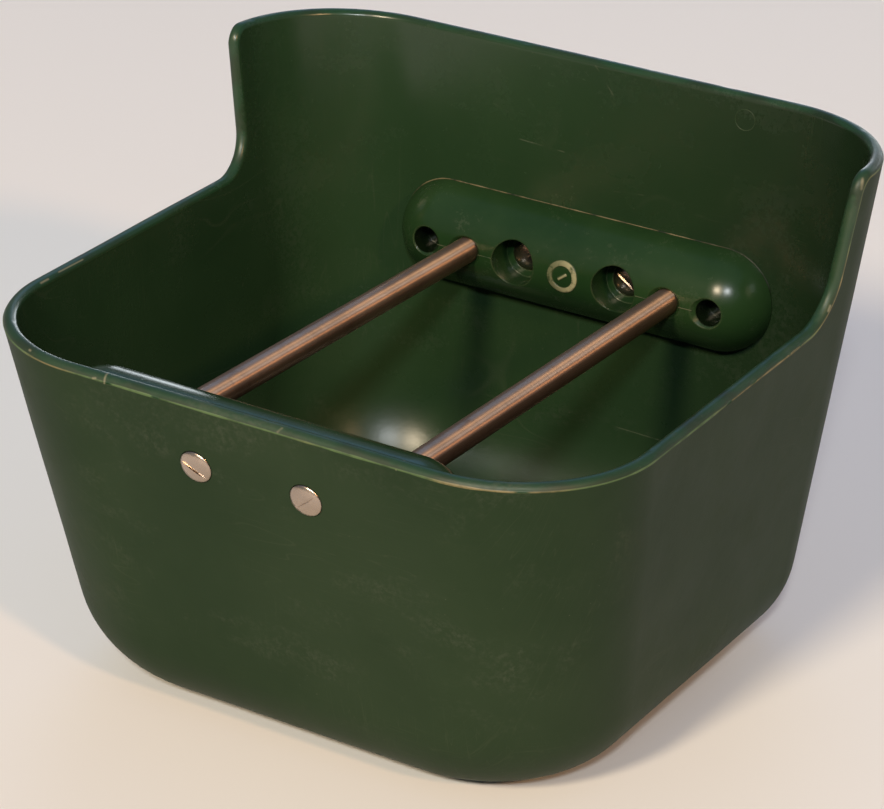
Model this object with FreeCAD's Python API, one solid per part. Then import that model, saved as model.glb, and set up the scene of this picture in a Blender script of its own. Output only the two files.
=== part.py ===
import FreeCAD, Part
import math
import os

# Foal feed trough: a one-piece moulded bowl with a raised back, crossed by two
# round bars that turn in two half-round bar holders, one on the front wall and
# one on the back wall.
# Millimetres. +Z up, +Y towards the raised back, X left to right.
# Origin: on the underside of the base, on the plane of symmetry, midway between
# the front rim and the back face.

V = FreeCAD.Vector

# ---------------------------------------------------------------- dimensions
# bowl
depth_half = 143.0          # back face to origin, and origin to the front rim
height_back = 239.5         # top of the raised back
wall = 6.2                  # wall thickness everywhere
base_half_width = 125.3     # side walls carried down to the base plane
side_draft = 0.134          # outward lean of the side walls, mm per mm of height
front_draft = 0.237         # outward lean of the front wall
rim_front_z = 167.5         # top of the rim at the front wall
rim_rise = 0.032            # rise of the side rims towards the back, mm per mm
corner_front_base = 65.0    # plan radius of the front corners at the base
corner_front_rim = 62.8     # and at the rim
corner_back_base = 46.0     # plan radius of the rear corners at the base
corner_back_top = 62.0      # and at the top of the raised back
base_fillet = 45.5          # large rounding between walls and base
hollow_fillet = 57.0        # the same rounding inside, where the wall thickens
hollow_corner = 61.0        # corners inside, from the floor up to hollow_z0
hollow_z0 = 70.0
hollow_z1 = 112.0           # above this the wall is even
wing_front_y = 73.7         # upright front edge of the raised back's two wings
wing_hollow_r = 18.5        # hollow curve from side rim up to the wing
wing_top_r = 9.0            # rounded upper corner of the wing
rim_round = 2.95            # rounding of the rim, nearly a full round

# bars and holders
bar_d = 12.0
bar_x = 51.2                # bars to the plane of symmetry
bar_z = 143.0               # height of the bar axes
socket_clear = 0.05         # radial running clearance of bar in socket
socket_depth = 14.0         # from the crest of the holder
socket_chamfer = 1.6
spare_x = 72.5              # spare sockets
bolt_x = 25.8               # fixing screws
holder_depth = 21.3         # how far a holder stands off its wall
holder_half_h = 24.2        # half its height
holder_ball_x = 70.4        # centre of its ball-shaped ends
counterbore_d = 21.6
counterbore_depth = 14.5    # from the crest
bolt_hole_d = 8.6
bar_end_play = 0.5
front_raise = 4.5           # front holder's middle above the line of its screws
tip_x = 74.0                # beyond this the holder tips are relieved
tip_gap = 0.02              # and stand this far off the wall
mark_od = 15.0              # plain raised ring in the middle of a holder
mark_id = 10.4
mark_h = 0.35

# slotted raised countersunk screws, plain washers and hexagon nuts, size 8
screw_d = 7.9
thread_d = 7.3              # free end past the nut, mean size of the thread
grip = 21.1                 # edge plane of the head to the nut's far face
head_d = 14.5
head_edge = 0.45            # cylindrical edge of the head
head_k = 4.0                # below the edge plane, to the shank
head_raise = 2.0            # dome above the edge plane
slot_w = 2.0
slot_depth = 3.4            # from the top of the dome
front_screw_len = 25.0
rear_screw_len = 35.0
thread_chamfer = 0.9
washer_od = 16.0
washer_id = 8.4
washer_t = 1.6
nut_af = 13.0
nut_h = 6.5
nut_bore = 8.0
slot_deg = {"front_left": -28.0, "front_right": 41.0,
            "rear_left": 24.0, "rear_right": -35.0}

# ---------------------------------------------------------------- derived
y_back = depth_half                      # outer face of the back wall
y_back_in = y_back - wall                # its inner face
front_line_z = rim_front_z - 3.1         # where the rounded rim starts
front_line_y = -depth_half               # outer wall there
lean = math.atan(front_draft)            # lean of the front wall
n_front = V(0, math.cos(lean), math.sin(lean))    # inward normal of the front wall


def y_front(z):
    """Outer face of the front wall at height z."""
    return front_line_y + front_draft * (front_line_z - z)


def half_width(z):
    return base_half_width + side_draft * z


def plan_wire(z, w, yf, yb, rf, rb):
    """Closed rounded outline at height z, eight edges, counter-clockwise from the back."""
    def arc(cx, cy, r, a0):
        p = [V(cx + r * math.cos(a), cy + r * math.sin(a), z)
             for a in (a0, a0 + math.pi / 4, a0 + math.pi / 2)]
        return p

    c1 = arc(w - rb, yb - rb, rb, 0.0)                     # rear right
    c2 = arc(-w + rb, yb - rb, rb, math.pi / 2)            # rear left
    c3 = arc(-w + rf, yf + rf, rf, math.pi)                # front left
    c4 = arc(w - rf, yf + rf, rf, 1.5 * math.pi)           # front right
    edges = [
        Part.Arc(*c1).toShape(),
        Part.LineSegment(c1[2], c2[0]).toShape(),
        Part.Arc(*c2).toShape(),
        Part.LineSegment(c2[2], c3[0]).toShape(),
        Part.Arc(*c3).toShape(),
        Part.LineSegment(c3[2], c4[0]).toShape(),
        Part.Arc(*c4).toShape(),
        Part.LineSegment(c4[2], c1[0]).toShape(),
    ]
    return Part.Wire(edges)


def bowl_block(z0, z1, inset):
    """Drafted solid between two heights; inset is measured square to the walls."""
    ws = inset * math.sqrt(1 + side_draft ** 2)
    wf = inset * math.sqrt(1 + front_draft ** 2)
    wires = []
    for z in (z0, z1):
        s = z / 175.0
        rf = corner_front_base + (corner_front_rim - corner_front_base) * s - inset
        rb = corner_back_base + (corner_back_top - corner_back_base) * z / height_back - inset
        wires.append(plan_wire(z, half_width(z) - ws, y_front(z) + wf,
                               y_back - inset, rf, rb))
    return Part.makeLoft(wires, True, True)


def hollow_block(z1, inset):
    """The inside of the bowl: like bowl_block, with fuller lower corners."""
    ws = inset * math.sqrt(1 + side_draft ** 2)
    wf = inset * math.sqrt(1 + front_draft ** 2)
    wires = []
    for z in (inset, hollow_z0, hollow_z1, z1):
        rf = corner_front_base + (corner_front_rim - corner_front_base) * z / 175.0 - inset
        rb = corner_back_base + (corner_back_top - corner_back_base) * z / height_back - inset
        if z <= hollow_z0:
            rb = hollow_corner
            rf = max(rf, hollow_corner)
        wires.append(plan_wire(z, half_width(z) - ws, y_front(z) + wf,
                               y_back - inset, rf, rb))
    block = Part.makeLoft(wires, True, True)
    return block.makeFillet(hollow_fillet, low_edges(block, inset))


def low_edges(shape, z):
    return [e for e in shape.Edges if e.BoundBox.ZMax < z + 1e-4 and e.BoundBox.ZMin > z - 1e-4]


def make_tub():
    z_hi = height_back + 30.0
    outer = bowl_block(0.0, z_hi, 0.0)
    outer = outer.makeFillet(base_fillet, low_edges(outer, 0.0))
    inner = hollow_block(z_hi + 1.0, wall)
    shell = outer.cut(inner)
    # trim to the side profile: level-ish rim, hollow curve, wing, top of the back
    def rim_z(y):
        return rim_front_z + rim_rise * (y + depth_half)
    far = 400.0
    prof = [V(-far, -far, rim_z(-far)), V(-far, wing_front_y, rim_z(wing_front_y)),
            V(-far, wing_front_y, height_back), V(-far, far, height_back),
            V(-far, far, far + 200), V(-far, -far, far + 200)]
    trim = Part.Face(Part.makePolygon(prof + [prof[0]])).extrude(V(2 * far, 0, 0))

    def x_edge(y, z):
        for e in trim.Edges:
            c = e.CenterOfMass
            if abs(c.y - y) < 1e-3 and abs(c.z - z) < 1e-3:
                return e
    trim = trim.makeFillet(wing_hollow_r, [x_edge(wing_front_y, rim_z(wing_front_y))])
    trim = trim.makeFillet(wing_top_r, [x_edge(wing_front_y, height_back)])
    shell = shell.cut(trim)
    return shell


def rim_edges(shape):
    """Edges of the faces that the side profile cut, all round the top."""
    out = []
    for e in shape.Edges:
        c = e.BoundBox
        if c.ZMin > rim_front_z - 1.0:
            out.append(e)
    return out


def half_dome(grow):
    """Half-round strip with ball-shaped ends. Its flat lies on y=0 and its crest at
    y=-holder_depth. grow moves the round skin outwards."""
    r = (holder_half_h ** 2 + holder_depth ** 2) / (2 * holder_depth)
    c = r - holder_depth
    body = Part.makeCylinder(r + grow, 2 * holder_ball_x, V(-holder_ball_x, c, 0), V(1, 0, 0))
    for sx in (-1, 1):
        body = body.fuse(Part.makeSphere(r + grow, V(sx * holder_ball_x, c, 0), V(0, 0, 1)))
    body = body.removeSplitter()
    keep = Part.makeBox(400, 60, 120, V(-200, -60, -60))
    return body.common(keep)


def cyl(r, p, d, length):
    return Part.makeCylinder(r, length, p, d)


def chamfered_bore(x, z, crest_y, direction, depth, r):
    """Bore from the crest inwards with a conical lead-in."""
    ref = V(x, crest_y, z)
    b = cyl(r, ref - direction * 30.0, direction, 30.0 + depth)
    # the crest recedes above and below the middle, so the cone starts there
    lead = 0.6
    cone = Part.makeCone(r + socket_chamfer + 6.0 + 0.0, r, socket_chamfer + 6.0,
                         ref - direction * (6.0 - lead), direction)
    return b.fuse(cone)


def make_holder(level_sockets, drop):
    """Bar holder on y=0, crest at y=-holder_depth. level_sockets turns the bar
    sockets so that they lie level once the holder sits on the leaning front wall.
    drop is how far the row of holes lies below the middle."""
    r_dome = (holder_half_h ** 2 + holder_depth ** 2) / (2 * holder_depth)
    y_row = r_dome - holder_depth - math.sqrt(r_dome ** 2 - drop ** 2)
    body = half_dome(0.0)
    bigger = half_dome(mark_h)
    ring = cyl(mark_od / 2, V(0, -holder_depth - 5, 0), V(0, 1, 0), 10.0).cut(
        cyl(mark_id / 2, V(0, -holder_depth - 5, 0), V(0, 1, 0), 10.0))
    dash = Part.makeBox(4.6, 10.0, 1.3, V(-2.3, -holder_depth - 5, -0.65))
    dash.rotate(V(0, 0, 0), V(0, 1, 0), -38)
    body = body.fuse(ring.fuse(dash).common(bigger))
    # crisp little rounding where the flat meets the wall is left square
    for sx in (-1, 1):
        cb = cyl(counterbore_d / 2, V(sx * bolt_x, -holder_depth - 20, -drop), V(0, 1, 0), 20 + counterbore_depth)
        body = body.cut(cb)
    tilt = math.degrees(lean) if level_sockets else 0.0
    d = V(0, math.cos(math.radians(tilt)), math.sin(math.radians(tilt)))
    back_off = (y_row + holder_depth) / d.y
    for x in (-spare_x, -bar_x, bar_x, spare_x):
        body = body.cut(chamfered_bore(x, -drop + back_off * d.z, y_row, d, socket_depth - back_off, bar_d / 2 + socket_clear))
    return body


def screw(length, slot_angle):
    """Axis along +Y, head edge plane on y=0, dome towards -Y, shank towards +Y."""
    R = head_d / 2
    r = screw_d / 2
    r_end = thread_d / 2
    sph = (R * R + head_raise * head_raise) / (2 * head_raise)
    p_top = V(0, -head_raise, 0)
    p_rim = V(R, 0, 0)
    a = math.asin(R / sph) / 2
    p_mid = V(sph * math.sin(a), -head_raise + sph - sph * math.cos(a), 0)
    pts = [p_rim, V(R, head_edge, 0), V(r, head_edge + (R - r), 0), V(r, grip, 0), V(r_end, grip, 0),
           V(r_end, length - thread_chamfer, 0), V(r_end - thread_chamfer, length, 0), V(0, length, 0)]
    edges = [Part.Arc(p_top, p_mid, p_rim).toShape()]
    for i in range(len(pts) - 1):
        edges.append(Part.LineSegment(pts[i], pts[i + 1]).toShape())
    edges.append(Part.LineSegment(pts[-1], p_top).toShape())
    s = Part.Face(Part.Wire(edges)).revolve(V(0, 0, 0), V(0, 1, 0), 360)
    slot = Part.makeBox(head_d + 4, slot_depth + 5, slot_w, V(-head_d / 2 - 2, -head_raise - 5, -slot_w / 2))
    slot.rotate(V(0, 0, 0), V(0, 1, 0), -slot_angle)
    return s.cut(slot)


def screw_seat(extra):
    """Countersink and clearance hole that the screw sits in, head edge plane on y=0."""
    R = head_d / 2 + 0.15
    r = bolt_hole_d / 2
    cone = Part.makeCone(R, r, R - r, V(0, head_edge, 0), V(0, 1, 0))
    top = cyl(R, V(0, -10, 0), V(0, 1, 0), 10 + head_edge)
    hole = cyl(r, V(0, 0, 0), V(0, 1, 0), extra)
    return top.fuse(cone).fuse(hole)


def washer():
    """Lies on y=0 and is washer_t thick towards +Y."""
    w = cyl(washer_od / 2, V(0, 0, 0), V(0, 1, 0), washer_t).cut(
        cyl(washer_id / 2, V(0, -1, 0), V(0, 1, 0), washer_t + 2))
    outer = [e for e in w.Edges if len(e.Vertexes) == 1 and abs(e.Length - math.pi * washer_od) < 0.5]
    return w.makeChamfer(0.25, outer)


def nut():
    """Stands on y=0, nut_h towards +Y, corners turned off at both ends."""
    rc = nut_af / math.sqrt(3)
    poly = [V(rc * math.cos(math.radians(60 * i)), 0, rc * math.sin(math.radians(60 * i))) for i in range(7)]
    hexa = Part.Face(Part.makePolygon(poly)).extrude(V(0, nut_h, 0))
    # turned chamfers at 30 degrees
    ro = nut_af / 2 * 0.97
    rise = (rc - ro) * math.tan(math.radians(30))
    prof = [V(0, 0, 0), V(ro, 0, 0), V(rc + 0.01, rise, 0), V(rc + 0.01, nut_h - rise, 0), V(ro, nut_h, 0), V(0, nut_h, 0)]
    turned = Part.Face(Part.makePolygon(prof + [prof[0]])).revolve(V(0, 0, 0), V(0, 1, 0), 360)
    n = hexa.common(turned)
    r = nut_bore / 2
    bore = cyl(r, V(0, -1, 0), V(0, 1, 0), nut_h + 2)
    c1 = Part.makeCone(r + 0.6, r, 0.6, V(0, 0, 0), V(0, 1, 0))
    c2 = Part.makeCone(r, r + 0.6, 0.6, V(0, nut_h - 0.6, 0), V(0, 1, 0))
    return n.cut(bore).cut(c1).cut(c2)


def bar(y0, y1):
    b = cyl(bar_d / 2, V(0, y0, 0), V(0, 1, 0), y1 - y0)
    ends = [e for e in b.Edges if len(e.Vertexes) == 1]
    return b.makeChamfer(0.8, ends)


# ---------------------------------------------------------------- placing
# front holder: its flat on the inner face of the front wall, its crest level
# with the bars. hp is where its axis meets the inner wall face.
wall_h = wall * math.sqrt(1 + front_draft ** 2)
crest_z = bar_z
hp_z = crest_z - holder_depth * n_front.z
hp_y = y_front(hp_z) + wall_h
front_axis_in = V(0, hp_y, hp_z)
front_axis_out = front_axis_in - n_front * wall
front_crest = front_axis_in + n_front * holder_depth


def to_front(shape, x=0.0, base=None):
    """Part with its axis along +Y, turned so that +Y runs outwards through the front wall."""
    s = shape.copy()
    s.rotate(V(0, 0, 0), V(0, 0, 1), 180)
    s.rotate(V(0, 0, 0), V(1, 0, 0), math.degrees(lean))
    b = base if base is not None else front_axis_in
    s.translate(V(x, b.y, b.z))
    return s


def from_front(shape, x, base):
    """Part with its axis along +Y, turned so that +Y runs inwards from the front wall."""
    s = shape.copy()
    s.rotate(V(0, 0, 0), V(1, 0, 0), math.degrees(lean))
    s.translate(V(x, base.y, base.z))
    return s


def relieve(holder):
    """Take off what would reach into the curved corners of the bowl."""
    room = bowl_block(wall, height_back, wall + tip_gap)
    out = holder
    for sx in (-1, 1):
        tip = Part.makeBox(60, 2 * depth_half, height_back, V(tip_x if sx > 0 else -tip_x - 60, -depth_half, 0))
        out = out.cut(tip.cut(room))
    return out


rear_flat = V(0, y_back_in, bar_z)
rear_crest_y = y_back_in - holder_depth
rear_floor_y = rear_crest_y + counterbore_depth     # floor of the rear counterbores


def build():
    parts = {}
    tub = make_tub()
    edges = rim_edges(tub)
    try:
        t2 = tub.makeFillet(rim_round, edges)
        if t2.isValid() and len(t2.Solids) == 1:
            tub = t2
            print("rim rounded", len(edges))
        else:
            print("rim rounding not valid")
    except Exception as ex:
        print("rim rounding failed", ex)
    rear = make_holder(False, 0.0)
    rear.translate(rear_flat)
    front = make_holder(True, front_raise)
    front = to_front(front, 0.0, front_axis_in + V(0, -n_front.z, n_front.y) * front_raise)
    for sx in (-1, 1):
        # rear: screw head in the holder's counterbore, shank out through the back wall
        seat = screw_seat(60.0)
        seat.translate(V(sx * bolt_x, rear_floor_y, bar_z))
        rear = rear.cut(seat)
        tub = tub.cut(seat)
        # front: screw head in the outside of the front wall, shank into the holder
        seat = from_front(screw_seat(60.0), sx * bolt_x, front_axis_out)
        tub = tub.cut(seat.common(Part.makeBox(60, 30, 60, V(sx * bolt_x - 30, front_axis_out.y - 8, hp_z - 30))))
        hole = from_front(cyl(bolt_hole_d / 2, V(0, -5, 0), V(0, 1, 0), 40), sx * bolt_x, front_axis_out)
        front = front.cut(hole)
    # the tips of the holders are relieved where the corners of the bowl begin to curve
    rear = relieve(rear)
    front = relieve(front)
    parts["tub"] = tub
    parts["rear_bar_holder"] = rear
    parts["front_bar_holder"] = front

    # bars between the socket ends
    d = holder_depth * n_front.z
    y_sock_rear = rear_crest_y + socket_depth
    y_sock_front = front_crest.y - socket_depth
    for sx, side in ((-1, "left"), (1, "right")):
        b = bar(y_sock_front + bar_end_play, y_sock_rear - bar_end_play)
        b.translate(V(sx * bar_x, 0, bar_z))
        parts["bar_" + side] = b
        # front fixings
        s = from_front(screw(front_screw_len, slot_deg["front_" + side]), sx * bolt_x, front_axis_out)
        parts["front_screw_" + side] = s
        seat_at = front_axis_in + n_front * (holder_depth - counterbore_depth)
        parts["front_washer_" + side] = from_front(washer(), sx * bolt_x, seat_at)
        parts["front_nut_" + side] = from_front(nut(), sx * bolt_x, seat_at + n_front * washer_t)
        # rear fixings
        s = screw(rear_screw_len, slot_deg["rear_" + side])
        s.translate(V(sx * bolt_x, rear_floor_y, bar_z))
        parts["rear_screw_" + side] = s
        w = washer()
        w.translate(V(sx * bolt_x, y_back, bar_z))
        parts["rear_washer_" + side] = w
        n = nut()
        n.rotate(V(0, 0, 0), V(0, 1, 0), 17 * sx)
        n.translate(V(sx * bolt_x, y_back + washer_t, bar_z))
        parts["rear_nut_" + side] = n
    return parts


def main():
    os.makedirs("parts", exist_ok=True)
    parts = build()
    for name, shape in parts.items():
        if shape.ShapeType == "Compound" and len(shape.Solids) == 1:
            shape = shape.Solids[0]
        shape.exportStep("parts/%s.step" % name)
        bb = shape.BoundBox
        print("%-22s valid %s solids %d vol %.1f  x %.2f %.2f  y %.2f %.2f  z %.2f %.2f" % (
            name, shape.isValid(), len(shape.Solids), shape.Volume,
            bb.XMin, bb.XMax, bb.YMin, bb.YMax, bb.ZMin, bb.ZMax))


main()
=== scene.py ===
import math

import bpy
import numpy as np
from mathutils import Matrix, Vector, noise


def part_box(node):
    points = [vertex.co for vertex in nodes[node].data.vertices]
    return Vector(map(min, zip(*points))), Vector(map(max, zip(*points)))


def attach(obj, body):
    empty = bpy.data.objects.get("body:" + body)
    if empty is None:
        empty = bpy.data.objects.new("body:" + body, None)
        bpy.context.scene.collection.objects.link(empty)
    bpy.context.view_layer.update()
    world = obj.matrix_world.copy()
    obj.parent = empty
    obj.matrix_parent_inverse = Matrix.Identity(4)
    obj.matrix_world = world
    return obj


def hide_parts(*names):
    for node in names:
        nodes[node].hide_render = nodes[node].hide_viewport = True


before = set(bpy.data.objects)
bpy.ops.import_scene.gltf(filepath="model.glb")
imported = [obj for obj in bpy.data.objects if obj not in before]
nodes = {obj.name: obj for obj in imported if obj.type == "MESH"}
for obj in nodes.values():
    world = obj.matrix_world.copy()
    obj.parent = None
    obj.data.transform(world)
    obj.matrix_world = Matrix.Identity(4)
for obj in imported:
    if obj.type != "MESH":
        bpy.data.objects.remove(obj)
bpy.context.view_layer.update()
scene = bpy.context.scene
MM = 0.001

# ------------------------------------------------------------------ dimensions
# the same numbers as the construction model, in millimetres
DEPTH_HALF = 143.0
HEIGHT_BACK = 239.5
WALL = 6.2
BASE_HALF_W = 125.3
SIDE_DRAFT = 0.134
FRONT_DRAFT = 0.237
RIM_FRONT_Z = 167.5
RIM_RISE = 0.032
RF_BASE, RF_RIM = 65.0, 62.8
RB_BASE, RB_TOP = 46.0, 62.0
BASE_R = 45.5
HOLLOW_R0, HOLLOW_CORNER, HOLLOW_Z0, HOLLOW_Z1 = 57.0, 61.0, 70.0, 112.0
WING_Y, HOLLOW_R, WING_TOP_R = 73.7, 18.5, 9.0
BAR_X, BAR_Z, BOLT_X, SPARE_X = 51.2, 143.0, 25.8, 72.5
HOLDER_D, HOLDER_H, BALL_X = 21.3, 24.2, 70.4
CB_R, CB_DEPTH = 10.8, 14.5
Y_BACK = DEPTH_HALF
Y_IN = Y_BACK - WALL
LEAN = math.atan(FRONT_DRAFT)
RIM_R = WALL / 2


def front_y(z):
    return -DEPTH_HALF + FRONT_DRAFT * (RIM_FRONT_Z - 3.1 - z)


# ------------------------------------------------------------------ mesh helpers
def new_mesh(name, verts_mm, faces, body="trough", smooth=True, sharp=None):
    me = bpy.data.meshes.new(name)
    me.from_pydata([tuple(v) for v in (np.asarray(verts_mm) * MM)], [], [tuple(int(i) for i in f) for f in faces])
    me.validate()
    me.update()
    if smooth:
        me.polygons.foreach_set("use_smooth", [True] * len(me.polygons))
    if sharp:
        me.set_sharp_from_angle(angle=math.radians(sharp))
    ob = bpy.data.objects.new(name, me)
    scene.collection.objects.link(ob)
    if body:
        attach(ob, body)
    return ob


def grid_faces(rows, cols, off=0, wrap=True):
    f = []
    n = cols if wrap else cols - 1
    for k in range(rows - 1):
        a = off + k * cols
        b = a + cols
        for j in range(n):
            j2 = (j + 1) % cols
            f.append((a + j, a + j2, b + j2, b + j))
    return f


def lathe(profile, segs=64, close_ends=True):
    """profile: list of (r, y) along +Y. Ends at r=0 become a fan."""
    verts, faces, rings = [], [], []
    for r, y in profile:
        if r < 1e-6:
            rings.append([len(verts)])
            verts.append((0.0, y, 0.0))
        else:
            base = len(verts)
            for i in range(segs):
                a = 2 * math.pi * i / segs
                verts.append((r * math.cos(a), y, r * math.sin(a)))
            rings.append(list(range(base, base + segs)))
    for a, b in zip(rings[:-1], rings[1:]):
        if len(a) == 1 and len(b) > 1:
            for i in range(segs):
                faces.append((a[0], b[i], b[(i + 1) % segs]))
        elif len(b) == 1 and len(a) > 1:
            for i in range(segs):
                faces.append((a[(i + 1) % segs], a[i], b[0]))
        else:
            for i in range(segs):
                j = (i + 1) % segs
                faces.append((a[i], b[i], b[j], a[j]))
    return np.array(verts), faces


def vnoise(p, scale, seed=0.0):
    return noise.noise(Vector((p[0] / scale + seed, p[1] / scale - seed * 0.7, p[2] / scale + seed * 1.3)))


def fix_normals(ob):
    import bmesh
    bm = bmesh.new()
    bm.from_mesh(ob.data)
    bmesh.ops.recalc_face_normals(bm, faces=bm.faces)
    bm.to_mesh(ob.data)
    bm.free()


# ------------------------------------------------------------------ the bowl
def section(z, d):
    """Outline numbers of the bowl at heights z, inset d mm from the outside."""
    z = np.asarray(z, float)
    w = BASE_HALF_W + SIDE_DRAFT * z - d * math.sqrt(1 + SIDE_DRAFT ** 2)
    yf = front_y(z) + d * math.sqrt(1 + FRONT_DRAFT ** 2)
    yb = np.full_like(z, Y_BACK - d)
    rf = RF_BASE + (RF_RIM - RF_BASE) * z / 175.0 - d
    rb = RB_BASE + (RB_TOP - RB_BASE) * z / HEIGHT_BACK - d
    R = BASE_R - d
    if d == WALL:
        # the wall thickens towards the floor: fuller rounding and corners inside
        R = HOLLOW_R0
        k = np.clip((HOLLOW_Z1 + 12 - z) / (HOLLOW_Z1 + 12 - HOLLOW_Z0 + 14), 0, 1)
        k = k * k * (3 - 2 * k)
        rf = rf + (np.maximum(rf, HOLLOW_CORNER) - rf) * k
        rb = rb + (HOLLOW_CORNER - rb) * k
    zc = d + R

    def inset(s):
        cd = 1 / math.sqrt(1 + s * s)
        sd = s * cd
        e = s * (z - zc) + R / cd - np.sqrt(np.maximum(R * R - (zc - z) ** 2, 0))
        return np.where(z < zc - R * sd, e, 0.0)
    es, ef, eb = inset(SIDE_DRAFT), inset(FRONT_DRAFT), inset(0.0)
    w = w - es
    yf = yf + ef
    yb = yb - eb
    rf = np.maximum(rf - (es + ef) / 2, 1.0)
    rb = np.maximum(rb - (es + eb) / 2, 1.0)
    return w, yf, yb, rf, rb


def wall_point(p, z, d):
    """p runs 0..5 from the front centre round the right side to the back centre."""
    p = np.asarray(p, float)
    z = np.asarray(z, float)
    w, yf, yb, rf, rb = section(z, d)
    x = np.zeros_like(p)
    y = np.zeros_like(p)
    t = np.clip(p, 0, 1)
    m = p <= 1
    x = np.where(m, (w - rf) * t, x)
    y = np.where(m, yf, y)
    a = (np.clip(p, 1, 2) - 2) * math.pi / 2
    m = (p > 1) & (p <= 2)
    x = np.where(m, w - rf + rf * np.cos(a), x)
    y = np.where(m, yf + rf + rf * np.sin(a), y)
    t = np.clip(p, 2, 3) - 2
    m = (p > 2) & (p <= 3)
    x = np.where(m, w, x)
    y = np.where(m, (yf + rf) * (1 - t) + (yb - rb) * t, y)
    a = (np.clip(p, 3, 4) - 3) * math.pi / 2
    m = (p > 3) & (p <= 4)
    x = np.where(m, w - rb + rb * np.cos(a), x)
    y = np.where(m, yb - rb + rb * np.sin(a), y)
    t = np.clip(p, 4, 5) - 4
    m = p > 4
    x = np.where(m, (w - rb) * (1 - t), x)
    y = np.where(m, yb, y)
    return np.stack([x, y, z], -1)


def p_of_y(y, z, d):
    """The place on the side wall or its two corners that has that y."""
    w, yf, yb, rf, rb = (float(v) for v in section(z, d))
    if y < yf + rf:
        return 2 + math.asin(max(-1.0, (y - yf - rf) / rf)) / (math.pi / 2)
    if y > yb - rb:
        return 3 + math.asin(min(1.0, (y - yb + rb) / rb)) / (math.pi / 2)
    return 2 + (y - yf - rf) / (yb - rb - yf - rf)


def rim_z(y):
    return RIM_FRONT_Z + RIM_RISE * (y + DEPTH_HALF)


def trim_curve(dens=1.0):
    """Half of the line through the middle of the rounded rim: list of (p, z)."""
    d = WALL / 2
    r = RIM_R
    out = []
    n = lambda v: max(3, int(round(v * dens)))
    for p in np.linspace(0, 2, n(110), endpoint=False):
        z = RIM_FRONT_Z - r
        for _ in range(6):
            y = float(wall_point(np.array([p]), np.array([z]), d)[0, 1])
            z = rim_z(y) - r
        out.append((p, z))
    w, yf, yb, rf, rb = (float(v) for v in section(RIM_FRONT_Z, d))
    beta = math.atan(RIM_RISE)
    yc = WING_Y - HOLLOW_R
    zc = rim_z(yc) + HOLLOW_R * math.sqrt(1 + RIM_RISE ** 2)
    Rh = HOLLOW_R + r
    ya, yz = yf + rf, yc + Rh * math.sin(beta)
    for y in np.linspace(ya, yz, n(92), endpoint=False):
        z = rim_z(y) - r
        out.append((p_of_y(y, z, d), z))
    for a in np.linspace(beta, math.pi / 2, n(30), endpoint=False):
        y, z = yc + Rh * math.sin(a), zc - Rh * math.cos(a)
        out.append((p_of_y(y, z, d), z))
    zt = HEIGHT_BACK - WING_TOP_R
    for z in np.linspace(zc, zt, n(26), endpoint=False):
        out.append((p_of_y(WING_Y + r, z, d), z))
    Rt = WING_TOP_R - r
    for a in np.linspace(0, math.pi / 2, n(14), endpoint=False):
        y, z = WING_Y + WING_TOP_R - Rt * math.cos(a), zt + Rt * math.sin(a)
        out.append((p_of_y(y, z, d), z))
    z = HEIGHT_BACK - r
    p0 = p_of_y(WING_Y + WING_TOP_R, z, d)
    for p in np.linspace(p0, 4, n(72), endpoint=False):
        out.append((p, z))
    for p in np.linspace(4, 5, n(64)):
        out.append((p, z))
    return out


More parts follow.
